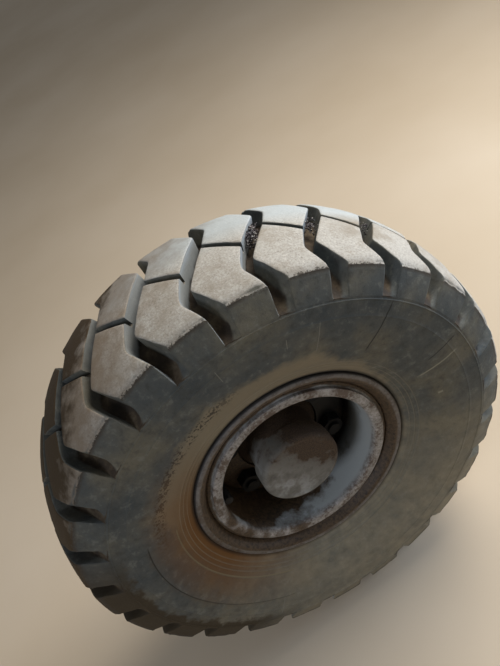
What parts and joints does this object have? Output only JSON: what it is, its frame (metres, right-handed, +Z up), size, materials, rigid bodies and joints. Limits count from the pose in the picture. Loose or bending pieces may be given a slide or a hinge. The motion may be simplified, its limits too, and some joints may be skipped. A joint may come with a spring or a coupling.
{
  "type": "steered forklift wheel with hub, knuckle and king pin",
  "caption": "Steered wheel end of a forklift: lugged industrial tyre on a split-ring rim, its hub turning on a knuckle that swings about an upright king pin.",
  "frame": {"origin": "on the king pin's axis, at the middle of its upper seat in the axle beam", "axes": "+Z up along the king pin, +X the way the truck drives, +Y inwards along the axle, so the wheel's outer face is towards -Y"},
  "size_m": [0.59, 0.2732, 0.5899],
  "materials": {
    "rubber_tyre": "dusty, worn",
    "rim_steel": "dull, dusty, rust-speckled",
    "cast_hub": "dusty",
    "plain_steel": "dull",
    "seal_rubber": "matt",
    "painted_forging": "satin black, dusty",
    "bronze": "satin"
  },
  "bodies": {
    "axle_end": {"king_pin": "plain_steel"},
    "steered_knuckle": {"knuckle": "painted_forging", "outer_bearing": "plain_steel", "inner_bearing": "plain_steel", "king_pin_bushes": "bronze", "thrust_ring": "plain_steel"},
    "wheel": {"tyre": "rubber_tyre", "rim_base": "rim_steel", "side_ring": "rim_steel", "lock_ring": "rim_steel", "wheel_disc": "rim_steel", "hub": "cast_hub", "hub_cap": "cast_hub", "wheel_studs": "plain_steel", "wheel_nuts": "plain_steel", "valve": "plain_steel", "hub_seal": "seal_rubber"}
  },
  "joints": [
    {"name": "steering", "type": "hinge", "parent": "axle_end", "child": "steered_knuckle", "pos_m": [0, 0, -0.08775], "axis": [0, 0, 1], "range_deg": [-55, 80]},
    {"name": "wheel_spin", "type": "hinge", "parent": "steered_knuckle", "child": "wheel", "pos_m": [0, -0.122, -0.08775], "axis": [0, 1, 0], "continuous": true}
  ]
}
